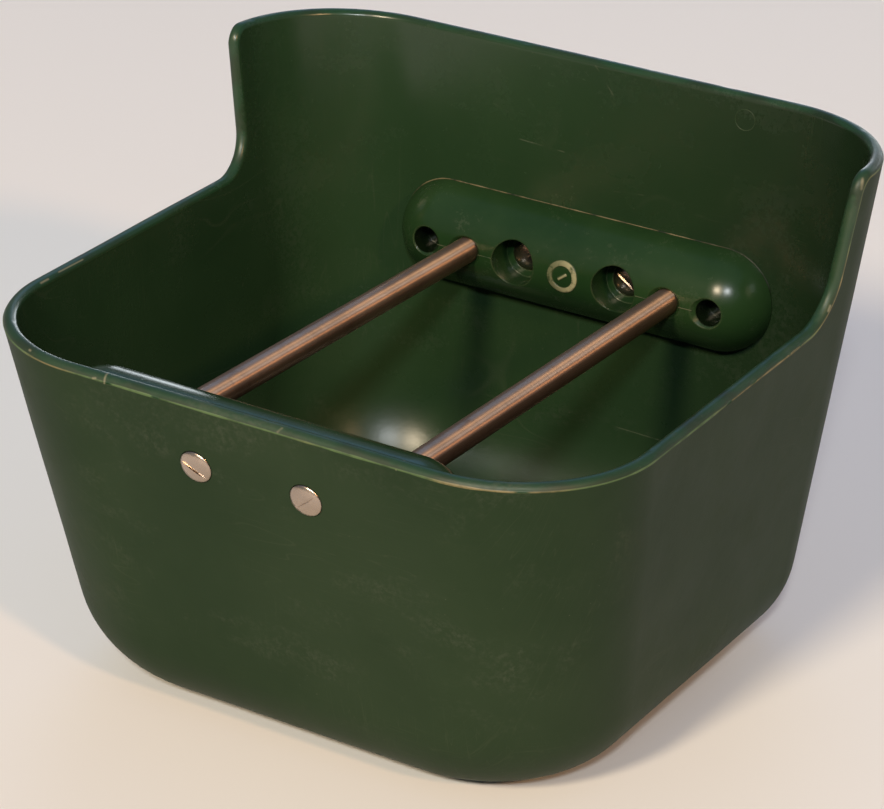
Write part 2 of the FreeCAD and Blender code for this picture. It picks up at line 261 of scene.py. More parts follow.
def build_tub():
    tc = trim_curve(1.0)
    pt = np.array([a for a, b in tc])
    zt = np.array([b for a, b in tc])
    C = (wall_point(pt, zt, 0.0) + wall_point(pt, zt, WALL)) / 2
    s = np.concatenate([[0], np.cumsum(np.linalg.norm(np.diff(C, axis=0), axis=1))])
    # where each column starts at the bottom: spread evenly along the rim's length
    i2 = int(np.argmax(pt >= 2.0))
    i4 = int(np.argmax(pt >= 4.0 - 1e-9))
    pb = pt.copy()
    pb[i2:i4] = 2 + 2 * (s[i2:i4] - s[i2]) / (s[i4] - s[i2])
    N = len(pt)
    full = list(range(N)) + list(range(N - 2, 0, -1))       # right half, then mirrored left half
    sign = np.array([1.0] * N + [-1.0] * (N - 2))
    cols = len(full)

    def mirror(P):
        Q = P[full].copy()
        Q[:, 0] *= sign
        return Q
    rows, kind, edge = [], [], []

    def wall_rows(d, floor_z, fr):
        out = []
        z_a = (HOLLOW_R0 + WALL if d else BASE_R) + 1.0
        for f in fr:
            z = z_a + (zt - z_a) * f
            p = pb + (pt - pb) * f
            out.append(wall_point(p, z, d))
        return out

    def bottom_rows(d, floor_z, k):
        out = []
        R = HOLLOW_R0 if d else BASE_R
        for a in np.linspace(math.pi / 2, 0.0, k):
            z = floor_z + R - R * math.sin(a)
            out.append(wall_point(pb, np.full(N, z), d))
        return out
    # heights of the rows between the big base rounding and the rim
    fr = list(np.linspace(0, 0.96, 42)) + list(1 - 0.04 * np.linspace(0.93, 0.0, 14))
    outer = bottom_rows(0.0, 0.0, 26) + wall_rows(0.0, 0.0, fr)
    inner = bottom_rows(WALL, WALL, 26) + wall_rows(WALL, WALL, fr)
    for P in outer:
        rows.append(mirror(P)); kind.append(0.0); edge.append(0.0)
    # edge weight of the last wall rows, where the rounding starts
    n_outer = len(rows)
    O, I = mirror(wall_point(pt, zt, 0.0)), mirror(wall_point(pt, zt, WALL))
    Cc = (O + I) / 2
    n = O - I
    rl = np.linalg.norm(n, axis=1) / 2
    n /= np.linalg.norm(n, axis=1)[:, None]
    t = np.roll(Cc, -1, 0) - np.roll(Cc, 1, 0)
    t /= np.linalg.norm(t, axis=1)[:, None]
    m = np.cross(n, t)
    m /= np.linalg.norm(m, axis=1)[:, None]
    phis = list(np.radians([2, 4, 6, 8, 10, 12, 14, 17, 20])) + list(np.radians(np.linspace(26, 180, 24, endpoint=False)))
    for ph in phis:
        rows.append(Cc + rl[:, None] * (math.cos(ph) * n + math.sin(ph) * m))
        kind.append(min(1.0, max(0.0, (math.degrees(ph) - 60) / 90)))
        edge.append(1.0)
    for P in inner[::-1]:
        rows.append(mirror(P)); kind.append(1.0); edge.append(0.0)
    V = np.concatenate(rows)
    faces = grid_faces(len(rows), cols)
    # flat bottoms, in and out: rings that shrink to a middle point
    verts = [V]
    count = len(V)

    def cap(ring, start, flip, k):
        nonlocal count
        cen = np.array([0.0, (ring[:, 1].min() + ring[:, 1].max()) / 2, ring[:, 2].mean()])
        prev = np.arange(start, start + cols)
        for f in (0.93, 0.82, 0.68, 0.52, 0.36, 0.2, 0.08):
            P = cen + (ring - cen) * f
            verts.append(P)
            cur = np.arange(count, count + cols)
            count += cols
            for j in range(cols):
                j2 = (j + 1) % cols
                q = (prev[j], prev[j2], cur[j2], cur[j])
                faces.append(q if flip else q[::-1])
            prev = cur
            kinds.extend([k] * cols)
        verts.append(cen[None])
        for j in range(cols):
            j2 = (j + 1) % cols
            q = (prev[j], prev[j2], count)
            faces.append(q if flip else q[::-1])
        count += 1
        kinds.append(k)
    kinds = []
    for k in kind:
        kinds.extend([k] * cols)
    base_kinds = len(kinds)
    cap(rows[0], 0, False, 0.0)
    cap(rows[-1], (len(rows) - 1) * cols, True, 1.0)
    V = np.concatenate(verts)
    phi_of_row = [None] * n_outer + phis + [None] * len(inner)
    ob = new_mesh("tub_shell", V, faces)
    me = ob.data
    # gentle unevenness of the moulding, the raised parting line and the knocks in the rim
    nor = np.zeros(len(me.vertices) * 3)
    me.vertices.foreach_get("normal", nor)
    nor = nor.reshape(-1, 3)
    rng = np.random.RandomState(7)
    knock_j = rng.randint(0, cols, 46)
    knock_d = rng.uniform(0.10, 0.42, 46)
    knock_w = rng.uniform(0.7, 2.6, 46)
    knock_ph = rng.uniform(0.0, 2.4, 46)
    bead = np.zeros(len(V))
    wear = np.zeros(len(V))
    glossy = np.zeros(len(V))
    glossy[n_outer * cols:base_kinds] = 1.0
    for k, ph in enumerate(phi_of_row):
        if ph is not None and ph < math.radians(9):
            glossy[k * cols:(k + 1) * cols] = 0.0
    glossy[base_kinds:] = np.asarray(kinds[base_kinds:])
    disp = np.zeros(len(V))
    for i in range(len(V)):
        p = V[i]
        disp[i] = 0.16 * vnoise(p, 62, 3.1) + 0.05 * vnoise(p, 21, 9.0) - 0.10
    arc = np.concatenate([[0], np.cumsum(np.linalg.norm(np.diff(Cc, axis=0), axis=1))])
    total = arc[-1] + np.linalg.norm(Cc[0] - Cc[-1])
    for k, ph in enumerate(phi_of_row):
        if ph is None:
            # the last rows of the outside, just under the parting line
            if k < n_outer and k >= n_outer - 14:
                depth = (1 - fr[k - 26]) * 115.0       # mm below the start of the rounding
                ph_mm = -depth
            else:
                continue
        else:
            ph_mm = ph * RIM_R
        base = k * cols
        for j in range(cols):
            c = Cc[j]
            amp = 0.5 + 0.5 * vnoise((arc[j], 0, 0), 9.0, 2.0) + 0.5 * vnoise((arc[j], 5, 0), 31.0, 4.0)
            amp = min(1.0, max(0.42, amp))
            g = math.exp(-((ph_mm - 0.45) / 0.36) ** 2)
            disp[base + j] += 0.26 * amp * g
            bead[base + j] = math.exp(-((ph_mm - 0.45) / 0.56) ** 2) * amp
            if ph is not None:
                wear[base + j] = min(1.0, 0.5 + 0.9 * vnoise((arc[j], ph * 3, 1.0), 14.0, 7.0)) * math.sin(min(math.pi, max(0, ph)))
        if ph is None:
            continue
        for q in range(46):
            dj = abs(arc - arc[knock_j[q]])
            dj = np.minimum(dj, total - dj)
            near = np.where(dj < 3 * knock_w[q])[0]
            for j in near:
                g = math.exp(-(dj[j] / knock_w[q]) ** 2 - ((ph - knock_ph[q]) * RIM_R / 1.1) ** 2)
                disp[base + j] -= knock_d[q] * g
                bead[base + j] = max(bead[base + j] * (1 - g), 0.0)
                wear[base + j] = max(wear[base + j], 0.9 * g)
    V2 = V + nor * disp[:, None]
    # nothing may stand below the base plane or outside the construction model's box
    lo, hi = (np.array(v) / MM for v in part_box("tub"))
    V2 = np.clip(V2, lo + 0.002, hi - 0.002)
    me.vertices.foreach_set("co", (V2 * MM).ravel())
    me.update()
    for nm, arr in (("inside", kinds), ("bead", bead), ("wear", wear), ("glossy", glossy)):
        at = me.attributes.new(nm, "FLOAT", "POINT")
        at.data.foreach_set("value", np.asarray(arr, float))
    return ob


def lathe_at(profile, origin, direction, segs=64):
    """Lathe whose +Y axis points along direction, in mm."""
    v, f = lathe(profile, segs)
    q = Vector((0, 1, 0)).rotation_difference(Vector(direction)).to_matrix()
    v = v @ np.array(q).T + np.array(origin)
    return v, f


def join_parts(parts):
    V, F, n = [], [], 0
    for v, f in parts:
        V.append(v)
        F += [tuple(i + n for i in q) for q in f]
        n += len(v)
    return np.concatenate(V), F


N_FRONT = np.array([0.0, math.cos(LEAN), math.sin(LEAN)])
hp_z = BAR_Z - HOLDER_D * N_FRONT[2]
hp_y = front_y(hp_z) + WALL * math.sqrt(1 + FRONT_DRAFT ** 2)
FRONT_IN = np.array([0.0, hp_y, hp_z])
FRONT_OUT = FRONT_IN - N_FRONT * WALL
FRONT_CREST = FRONT_IN + N_FRONT * HOLDER_D


def cut_with(ob, cutters, name):
    v, f = join_parts(cutters)
    me = bpy.data.meshes.new(name)
    me.from_pydata([tuple(p) for p in v * MM], [], f)
    co = bpy.data.objects.new(name, me)
    scene.collection.objects.link(co)
    fix_normals(co)
    mod = ob.modifiers.new("cut", "BOOLEAN")
    mod.operation = "DIFFERENCE"
    mod.object = co
    mod.solver = "EXACT"
    dg = bpy.context.evaluated_depsgraph_get()
    res = bpy.data.meshes.new_from_object(ob.evaluated_get(dg), preserve_all_data_layers=True, depsgraph=dg)
    ob.modifiers.remove(mod)
    old = ob.data
    ob.data = res
    bpy.data.meshes.remove(old)
    bpy.data.objects.remove(co)
    bpy.data.meshes.remove(me)
    return ob


tub = build_tub()
cutters = []
for sx in (-1, 1):
    o = FRONT_OUT + np.array([sx * BOLT_X, 0, 0])
    cutters.append(lathe_at([(0, -6), (7.5, -6), (7.5, 0.5), (4.3, 3.7), (4.3, 12), (0, 12)], o, N_FRONT, 72))
    cutters.append(lathe_at([(0, -6), (4.3, -6), (4.3, 16), (0, 16)], (sx * BOLT_X, Y_IN, BAR_Z), (0, 1, 0), 48))
cut_with(tub, cutters, "holes")
tub.data.polygons.foreach_set("use_smooth", [True] * len(tub.data.polygons))
tub.data.set_sharp_from_angle(angle=math.radians(50))
tub.name = "tub_shell"
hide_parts("tub")


# ------------------------------------------------------------------ bars
def build_bar(name, node):
    lo, hi = (np.array(v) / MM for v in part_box(node))
    cx, cz = (lo[0] + hi[0]) / 2, (lo[2] + hi[2]) / 2
    y0, y1 = lo[1], hi[1]
    prof = [(0, y0), (3.0, y0), (5.2, y0), (5.75, y0 + 0.22), (5.98, y0 + 0.8)]
    ys = np.linspace(y0 + 1.4, y1 - 1.4, 180)
    prof += [(6.0, y) for y in ys]
    prof += [(5.98, y1 - 0.8), (5.75, y1 - 0.22), (5.2, y1), (3.0, y1), (0, y1)]
    v, f = lathe(prof, 96)
    for i in range(len(v)):
        r = math.hypot(v[i, 0], v[i, 2])
        if r > 5.5:
            k = 1 - 0.004 * (0.5 + 0.5 * vnoise((v[i, 0] * 1.0 + cx, v[i, 1], v[i, 2]), 11.0, 1.7)) - 0.0015 * (0.5 + 0.5 * vnoise((v[i, 0] * 3 + cx, v[i, 1] * 0.4, v[i, 2] * 3), 6.0, 5.0))
            v[i, 0] *= k
            v[i, 2] *= k
    v = v + np.array([cx, 0, cz])
    ob = new_mesh(name, v, f, body=node, sharp=50)
    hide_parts(node)
    return ob


bar_objs = [build_bar("bar_left_rod", "bar_left"), build_bar("bar_right_rod", "bar_right")]



def sweep(name, pts, radius, n=8, body="trough", vary=None):
    """Thin round bead along a list of points (mm)."""
    pts = np.asarray(pts, float)
    t = np.gradient(pts, axis=0)
    t /= np.maximum(np.linalg.norm(t, axis=1), 1e-9)[:, None]
    up = np.array([0.02, 0.03, 1.0])
    a = np.cross(t, up)
    bad = np.linalg.norm(a, axis=1) < 0.2
    a[bad] = np.cross(t[bad], np.array([0.0, 1.0, 0.1]))
    a /= np.linalg.norm(a, axis=1)[:, None]
    b = np.cross(t, a)
    V, F = [], []
    for i in range(len(pts)):
        r = radius * (vary(i) if vary else 1.0)
        if i in (0, len(pts) - 1):
            r *= 0.15
        for k in range(n):
            q = 2 * math.pi * k / n
            V.append(pts[i] + r * (math.cos(q) * a[i] + math.sin(q) * b[i]))
    for i in range(len(pts) - 1):
        for k in range(n):
            k2 = (k + 1) % n
            F.append((i * n + k, i * n + k2, (i + 1) * n + k2, (i + 1) * n + k))
    F.append(tuple(range(n))[::-1])
    F.append(tuple((len(pts) - 1) * n + k for k in range(n)))
    return new_mesh(name, V, F, body=body)


HOLDER_R = (HOLDER_H ** 2 + HOLDER_D ** 2) / (2 * HOLDER_D)
HOLDER_C = HOLDER_R - HOLDER_D           # behind the flat
Y_CREST = Y_IN - HOLDER_D

# moulding flash where the rear holder meets the wall, along the top and round its ends
pts = []
rr = HOLDER_H + 0.05
for a in np.linspace(200, 90, 40, endpoint=False):
    pts.append((-BALL_X + rr * math.cos(math.radians(a)), Y_IN - 0.12, BAR_Z + rr * math.sin(math.radians(a))))
for x in np.linspace(-BALL_X, BALL_X, 160):
    pts.append((x, Y_IN - 0.12, BAR_Z + rr))
for a in np.linspace(90, -20, 40)[1:]:
    pts.append((BALL_X + rr * math.cos(math.radians(a)), Y_IN - 0.12, BAR_Z + rr * math.sin(math.radians(a))))
pts = [p for p in pts if abs(p[0]) < 93.2]
seam = sweep("rear_holder_seam", pts, 0.36, vary=lambda i: 0.7 + 0.45 * vnoise((i * 1.3, 2.0, 0.0), 7.0, 3.0))

# parting line along the crest of the rear holder, between its holes
crest_lines = []
for k, (x0, x1) in enumerate(((-65.4, -58.6), (-43.9, -36.9), (36.9, 43.9), (58.6, 65.4))):
    P = []
    for x in np.linspace(x0, x1, 24):
        over = max(0.0, abs(x) - BALL_X)
        P.append((x, Y_IN + HOLDER_C - math.sqrt(HOLDER_R ** 2 - over ** 2), BAR_Z + 0.1))
    crest_lines.append(sweep("crest_line_%d" % k, P, 0.20))

# faint round mark of an ejector pin, upper right of the back wall
ring_pts = [(73.3 + 4.75 * math.cos(a), Y_IN + 0.02, 227.8 + 4.75 * math.sin(a)) for a in np.linspace(0, 2 * math.pi, 73)]
ejector = sweep("ejector_mark", ring_pts, 0.16)


def thread_piece(name, y0, y1, minor, major, pitch, place):
    """Rounded single-start thread as a closed tube with a helical crest."""
    segs, per = 48, 12
    rows = int((y1 - y0) / pitch * per)
    V, F = [], []
    for i in range(rows + 1):
        y = y0 + (y1 - y0) * i / rows
        fade = min(1.0, (y - y0) / 0.6, (y1 - y) / 0.9)
        fade = max(0.0, fade)
        for k in range(segs):
            ph = ((y - y0) / pitch + k / segs) % 1.0
            tri = 1 - abs(2 * ph - 1)
            tri = min(1.0, max(0.0, (tri - 0.12) / 0.72))
            r = minor + (major - minor) * tri * fade
            a = 2 * math.pi * k / segs
            V.append((r * math.cos(a), y, r * math.sin(a)))
    for i in range(rows):
        for k in range(segs):
            k2 = (k + 1) % segs
            F.append((i * segs + k, i * segs + k2, (i + 1) * segs + k2, (i + 1) * segs + k))
    F.append(tuple(range(segs))[::-1])
    F.append(tuple(rows * segs + k for k in range(segs)))
    V = np.array(V)
    rot, off = place
    V = V @ np.array(rot).T + np.array(off)
    ob = new_mesh(name, V, F, sharp=45)
    return ob


EYE = np.eye(3)
ROT_F = np.array([[1, 0, 0], [0, math.cos(LEAN), -math.sin(LEAN)], [0, math.sin(LEAN), math.cos(LEAN)]])
threads = []
for sx, side in ((-1, "left"), (1, "right")):
    threads.append(thread_piece("rear_thread_" + side, 21.15, 34.9, 3.66, 3.95, 1.25, (EYE, (sx * BOLT_X, Y_CREST + CB_DEPTH, BAR_Z))))
    threads.append(thread_piece("front_thread_" + side, 21.15, 24.9, 3.66, 3.95, 1.25, (ROT_F, tuple(FRONT_OUT + np.array([sx * BOLT_X, 0, 0])))))


HEAD_R, HEAD_EDGE, HEAD_RAISE = 7.25, 0.45, 2.0
SLOT_DEG = {"front_left": -28.0, "front_right": 41.0, "rear_left": 24.0, "rear_right": -35.0}


def screw_piece(node, length, slot_deg, place):
    prof = [(0.0, -HEAD_RAISE)]
    for q in np.linspace(0.06, 1.0, 30)[:-1]:
        prof.append((HEAD_R * q, -HEAD_RAISE * (1 - q ** 2.5) ** 0.72))
    prof += [(HEAD_R - 0.02, -0.06), (HEAD_R, 0.06), (HEAD_R, HEAD_EDGE - 0.06), (HEAD_R - 0.06, HEAD_EDGE)]
    prof += [(3.95, HEAD_EDGE + HEAD_R - 3.95)]
    prof += [(3.95, y) for y in np.linspace(4.2, 21.1, 12)]
    prof += [(3.66, 21.1), (3.66, length - 0.9), (2.76, length), (0.0, length)]
    v, f = lathe(prof, 96)
    rot, off = place
    rot = np.array(rot)
    ob = new_mesh(node + "_piece", v @ rot.T + np.array(off), f)
    fix_normals(ob)
    # slot, a straight box cut 1.1 mm wide and 0.9 mm deep at the top of the dome
    w, dpt = 1.1, 0.9
    c, s_ = math.cos(math.radians(slot_deg)), math.sin(math.radians(slot_deg))
    box = []
    for x in (-9.0, 9.0):
        for y in (-HEAD_RAISE - 3.0, -HEAD_RAISE + dpt):
            for z in (-w / 2, w / 2):
                box.append((x, y, z))
    box = np.array(box)
    turn = np.array([[c, 0, -s_], [0, 1, 0], [s_, 0, c]])
    bv = box @ turn.T @ rot.T + np.array(off)
    bf = [(0, 1, 3, 2), (4, 6, 7, 5), (0, 4, 5, 1), (2, 3, 7, 6), (0, 2, 6, 4), (1, 5, 7, 3)]
    cut_with(ob, [(bv, bf)], node + "_slot")
    ob.data.polygons.foreach_set("use_smooth", [True] * len(ob.data.polygons))
    ob.data.set_sharp_from_angle(angle=math.radians(38))
    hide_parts(node)
    return ob


screws = []
for sx, side in ((-1, "left"), (1, "right")):
    screws.append(screw_piece("rear_screw_" + side, 34.9, SLOT_DEG["rear_" + side], (EYE, (sx * BOLT_X, Y_CREST + CB_DEPTH, BAR_Z))))
    screws.append(screw_piece("front_screw_" + side, 24.9, SLOT_DEG["front_" + side], (ROT_F, tuple(FRONT_OUT + np.array([sx * BOLT_X, 0, 0])))))


# ------------------------------------------------------------------ materials
def mat_new(name):
    m = bpy.data.materials.new(name)
    m.use_nodes = True
    nt = m.node_tree
    for n in list(nt.nodes):
        nt.nodes.remove(n)
    out = nt.nodes.new("ShaderNodeOutputMaterial")
    b = nt.nodes.new("ShaderNodeBsdfPrincipled")
    nt.links.new(b.outputs[0], out.inputs[0])
    return m, nt, b


class G:
    """Small helper to write node graphs as expressions."""

    def __init__(self, nt):
        self.nt = nt

    def _in(self, node, i, v):
        if isinstance(v, bpy.types.NodeSocket):
            self.nt.links.new(v, node.inputs[i])
        elif v is not None:
            node.inputs[i].default_value = v

    def math(self, op, a, b=None, c=None, clamp=False):
        n = self.nt.nodes.new("ShaderNodeMath")
        n.operation = op
        n.use_clamp = clamp
        for i, v in enumerate((a, b, c)):
            if v is not None:
                self._in(n, i, v)
        return n.outputs[0]

    def vmath(self, op, a, b=None, c=None, scale=None):
        n = self.nt.nodes.new("ShaderNodeVectorMath")
        n.operation = op
        for i, v in enumerate((a, b, c)):
            if v is not None:
                self._in(n, i, v)
        if scale is not None:
            self._in(n, 3, scale)
        return n.outputs["Value"] if op in ("DOT_PRODUCT", "LENGTH", "DISTANCE") else n.outputs["Vector"]

    def coord(self):
        return self.nt.nodes.new("ShaderNodeTexCoord").outputs["Object"]

    def mapping(self, vec, scale=(1, 1, 1), rot=(0, 0, 0), loc=(0, 0, 0)):
        n = self.nt.nodes.new("ShaderNodeMapping")
        n.inputs["Scale"].default_value = scale
        n.inputs["Rotation"].default_value = rot
        n.inputs["Location"].default_value = loc
        self.nt.links.new(vec, n.inputs["Vector"])
        return n.outputs[0]

    def noise(self, vec, scale, detail=3.0, rough=0.5, dist=0.0):
        n = self.nt.nodes.new("ShaderNodeTexNoise")
        n.inputs["Scale"].default_value = scale
        n.inputs["Detail"].default_value = detail
        n.inputs["Roughness"].default_value = rough
        n.inputs["Distortion"].default_value = dist
        self.nt.links.new(vec, n.inputs["Vector"])
        return n.outputs[0]

    def voronoi(self, vec, scale, feature="F1"):
        n = self.nt.nodes.new("ShaderNodeTexVoronoi")
        n.feature = feature
        n.inputs["Scale"].default_value = scale
        self.nt.links.new(vec, n.inputs["Vector"])
        return n.outputs[0]

    def ramp(self, fac, stops, interp="LINEAR"):
        n = self.nt.nodes.new("ShaderNodeValToRGB")
        e = n.color_ramp.elements
        n.color_ramp.interpolation = interp
        while len(e) < len(stops):
            e.new(0.5)
        for i, (p, c) in enumerate(stops):
            e[i].position = p
            e[i].color = (c, c, c, 1) if isinstance(c, (int, float)) else tuple(c) + (1,)
        self.nt.links.new(fac, n.inputs[0])
        return n.outputs[0]

    def range(self, v, a, b, c=0.0, d=1.0, smooth=True):
        n = self.nt.nodes.new("ShaderNodeMapRange")
        n.interpolation_type = "SMOOTHSTEP" if smooth else "LINEAR"
        n.clamp = True
        for i, x in enumerate((v, a, b, c, d)):
            self._in(n, i, x)
        return n.outputs[0]

    def mix(self, f, a, b, blend="MIX"):
        n = self.nt.nodes.new("ShaderNodeMix")
        n.data_type = "RGBA"
        n.blend_type = blend
        self._in(n, 0, f)
        for i, v in ((6, a), (7, b)):
            if isinstance(v, bpy.types.NodeSocket):
                self.nt.links.new(v, n.inputs[i])
            else:
                n.inputs[i].default_value = tuple(v) + (1,)
        return n.outputs[2]

    def attr(self, name):
        n = self.nt.nodes.new("ShaderNodeAttribute")
        n.attribute_name = name
        return n.outputs["Fac"]

    def sep(self, v):
        n = self.nt.nodes.new("ShaderNodeSeparateXYZ")
        self.nt.links.new(v, n.inputs[0])
        return n.outputs[0], n.outputs[1], n.outputs[2]

    def bump(self, height, dist, strength=1.0, normal=None):
        n = self.nt.nodes.new("ShaderNodeBump")
        n.inputs["Strength"].default_value = strength
        n.inputs["Distance"].default_value = dist
        self.nt.links.new(height, n.inputs["Height"])
        if normal is not None:
            self.nt.links.new(normal, n.inputs["Normal"])
        return n.outputs[0]

    def segment(self, P, a, b, w):
        """1 on the line from a to b (metres), 0 past w from it."""
        a, b = Vector(a), Vector(b)
        ab = b - a
        pa = self.vmath("SUBTRACT", P, tuple(a))
        t = self.math("DIVIDE", self.vmath("DOT_PRODUCT", pa, tuple(ab)), ab.length_squared, clamp=True)
        near = self.vmath("SCALE", tuple(ab), scale=t)
        d = self.vmath("LENGTH", self.vmath("SUBTRACT", pa, near))
        return self.range(d, 0.0, w, 1.0, 0.0)

    def add(self, a, b):
        return self.math("ADD", a, b)

    def mul(self, a, b):
        return self.math("MULTIPLY", a, b)


def tub_material(name, specular):
    m, nt, b = mat_new(name)
    g = G(nt)
    P = g.coord()
    inside = g.attr("inside")
    bead = g.attr("bead")
    wear = g.attr("wear")
    # slow tone shifts in the pigment
    big = g.noise(P, 9.0, 4.0, 0.55)
    mid = g.noise(P, 34.0, 5.0, 0.6)
    base_out = g.mix(g.range(big, 0.35, 0.68), (0.0163, 0.0318, 0.0136), (0.0226, 0.0397, 0.0182))
    base_in = g.mix(g.range(big, 0.3, 0.7), (0.0130, 0.0338, 0.0126), (0.0176, 0.0410, 0.0158))
    col = g.mix(inside, base_out, base_in)
    # painted shade: the inside grows darker towards the bottom, in mottled patches, and much darker towards its
    # right side
    x, y, z = g.sep(P)
    stain_and_painted_shade = g.mul(g.range(z, 0.050, 0.175, 0.16, 0.0), g.range(mid, 0.30, 0.62, 0.60, 1.0))
    stain_and_painted_shade = g.math("MAXIMUM", stain_and_painted_shade, g.range(x, -0.030, 0.140, 0.0, 0.58))
    col = g.mix(g.mul(stain_and_painted_shade, inside), col, (0.0042, 0.0080, 0.0034))
    # dusty film on the bowl's floor
    film = g.mul(g.range(z, 0.008, 0.030, 0.62, 0.0), g.range(g.noise(P, 26.0, 6.0, 0.65), 0.34, 0.62, 0.35, 1.0))
    col = g.mix(g.mul(film, inside), col, (0.070, 0.084, 0.046))
    # the rim's rounding is polished to a cleaner, deeper green
    col = g.mix(g.mul(g.range(wear, 0.08, 0.45), 0.65), col, (0.0125, 0.0500, 0.0200))
    # cloudy scuffing, mostly outside
    cloud = g.noise(g.mapping(P, (1, 1, 1.5)), 17.0, 8.0, 0.68, 0.4)
    cloud = g.range(cloud, 0.50, 0.72)
    fine = g.noise(P, 420.0, 4.0, 0.75)
    scuff = g.mul(cloud, g.range(fine, 0.42, 0.66))
    scuff_out = g.mul(scuff, g.range(inside, 0.0, 1.0, 0.55, 0.16))
    col = g.mix(scuff_out, col, (0.060, 0.072, 0.048))
    # rubbing marks: thin, stretched, in three directions
    lines = None
    for k, (rot, sc) in enumerate((((0.3, 0.5, 0.9), (9, 260, 9)), ((1.2, 0.2, 0.1), (260, 8, 11)), ((0.4, 1.0, 0.3), (8, 9, 240)))):
        v = g.noise(g.mapping(P, sc, rot, (k * 3.1, 1.7, 0.4)), 1.6, 1.0, 0.4)
        ln = g.range(g.math("ABSOLUTE", g.math("SUBTRACT", v, 0.5)), 0.0, 0.012, 1.0, 0.0)
        gate = g.range(g.noise(g.mapping(P, (1, 1, 1), (0, 0, 0), (k * 5.3, 0, 0)), 14.0, 2.0), 0.52, 0.66)
        ln = g.mul(ln, gate)
        lines = ln if lines is None else g.math("MAXIMUM", lines, ln)
    lines = g.mul(lines, g.range(inside, 0.0, 1.0, 0.10, 0.10))
    col = g.mix(lines, col, (0.085, 0.095, 0.060))
    # dust specks
    sp = g.voronoi(P, 210.0)
    speck = g.mul(g.range(sp, 0.03, 0.075, 1.0, 0.0), g.range(g.noise(P, 23.0, 2.0), 0.5, 0.68))
    col = g.mix(g.mul(speck, 0.35), col, (0.12, 0.12, 0.085))
    # single scratches
    marks = None
    for a, c, w in SCRATCHES:
        s = g.segment(P, a, c, w)
        marks = s if marks is None else g.math("MAXIMUM", marks, s)
    if marks is not None:
        brk = g.range(g.noise(P, 260.0, 3.0), 0.36, 0.6)
        marks = g.mul(marks, brk)
        col = g.mix(g.mul(marks, 0.55), col, (0.10, 0.115, 0.070))
    cuts = None
    for a, c, w in NICKS:
        v = g.segment(P, a, c, w)
        cuts = v if cuts is None else g.math("MAXIMUM", cuts, v)
    # worn rim: paler crest; the pale parting line is partly worn flash and partly painted highlight, and its warm
    # patches are painted glints
    wn = g.mul(g.range(wear, 0.25, 0.9), g.range(mid, 0.38, 0.66))
    col = g.mix(g.mul(wn, 0.35), col, (0.055, 0.075, 0.040))
    bead_wear_and_glint = g.mul(g.range(bead, 0.16, 0.50), g.range(g.noise(P, 130.0, 3.0), 0.30, 0.55, 0.45, 1.0))
    warm = g.range(g.noise(P, 14.0, 2.0), 0.50, 0.62)
    bead_wear_and_glint_col = g.mix(warm, (0.105, 0.165, 0.068), (0.235, 0.190, 0.090))
    col = g.mix(g.mul(bead_wear_and_glint, 0.74), col, bead_wear_and_glint_col)
    col = g.mix(g.mul(cuts, 0.8), col, (0.20, 0.19, 0.12))
    nt.links.new(col, b.inputs["Base Color"])
    ro = g.range(inside, 0.0, 1.0, 0.50, 0.26)
    ro = g.add(ro, g.mul(inside, g.range(z, 0.030, 0.090, 0.07, 0.0)))
    ro = g.add(ro, g.mul(scuff, 0.22))
    ro = g.add(ro, g.mul(g.math("SUBTRACT", mid, 0.5), 0.16))
    ro = g.math("SUBTRACT", ro, g.mul(wn, 0.12))
    nt.links.new(g.math("MAXIMUM", ro, 0.14), b.inputs["Roughness"])
    b.inputs["Specular IOR Level"].default_value = specular
    b.inputs["IOR"].default_value = 1.49
    # moulding texture, scuffs and scratches in the surface
    peel = g.noise(P, 520.0, 2.0, 0.5)
    h = g.mul(g.math("SUBTRACT", peel, 0.5), 0.35)
    h = g.add(h, g.mul(g.math("SUBTRACT", g.noise(P, 120.0, 3.0), 0.5), 0.9))
    h = g.math("SUBTRACT", h, g.mul(lines, 0.5))
    if marks is not None:
        h = g.math("SUBTRACT", h, g.mul(marks, 0.9))
    nt.links.new(g.bump(h, 0.00006, 1.0), b.inputs["Normal"])
    return m


SCRATCHES = [
    ((-0.0022, 0.1368, 0.2379), (0.0084, 0.1368, 0.2253), 0.00042),
    ((-0.0371, 0.1368, 0.1945), (-0.0142, 0.1368, 0.1934), 0.00040),
    ((0.0221, 0.1368, 0.0673), (0.0445, 0.1368, 0.0668), 0.00045),
    ((-0.052, 0.1368, 0.2085), (-0.044, 0.1368, 0.2060), 0.00030),
    ((0.012, 0.1368, 0.1805), (0.027, 0.1368, 0.1822), 0.00030),
]
NICKS = [
    ((-0.0657, -0.1430, 0.1645), (-0.0659, -0.1421, 0.1665), 0.0008),
    ((-0.0659, -0.1421, 0.1665), (-0.0663, -0.1400, 0.1676), 0.0008),
    ((-0.0663, -0.1400, 0.1676), (-0.0666, -0.1378, 0.1670), 0.0006),
    ((-0.0713, -0.1429, 0.1652), (-0.0701, -0.1428, 0.1655), 0.0008),
    ((-0.1061, -0.1381, 0.1668), (-0.1052, -0.1384, 0.1667), 0.0008),
    ((-0.1424, -0.0820, 0.1686), (-0.1424, -0.0768, 0.1688), 0.0008),
    ((-0.1428, -0.0690, 0.1693), (-0.1427, -0.0520, 0.1697), 0.0006),
    ((0.1488, 0.0704, 0.1790), (0.1489, 0.0716, 0.1808), 0.0010),
    ((0.1554, 0.0758, 0.2330), (0.1554, 0.0768, 0.2374), 0.0011),
    ((0.0160, -0.1424, 0.1655), (0.0172, -0.1414, 0.1668), 0.0009),
    ((0.0695, -0.1429, 0.1646), (0.0709, -0.1392, 0.1676), 0.0005),
    ((0.1058, -0.1405, 0.1668), (0.1061, -0.1400, 0.1672), 0.0008),
]
tub.data.materials.clear()
tub.data.materials.append(tub_material("tub_outside_look", 0.07))
tub.data.materials.append(tub_material("tub_inside_look", 0.47))
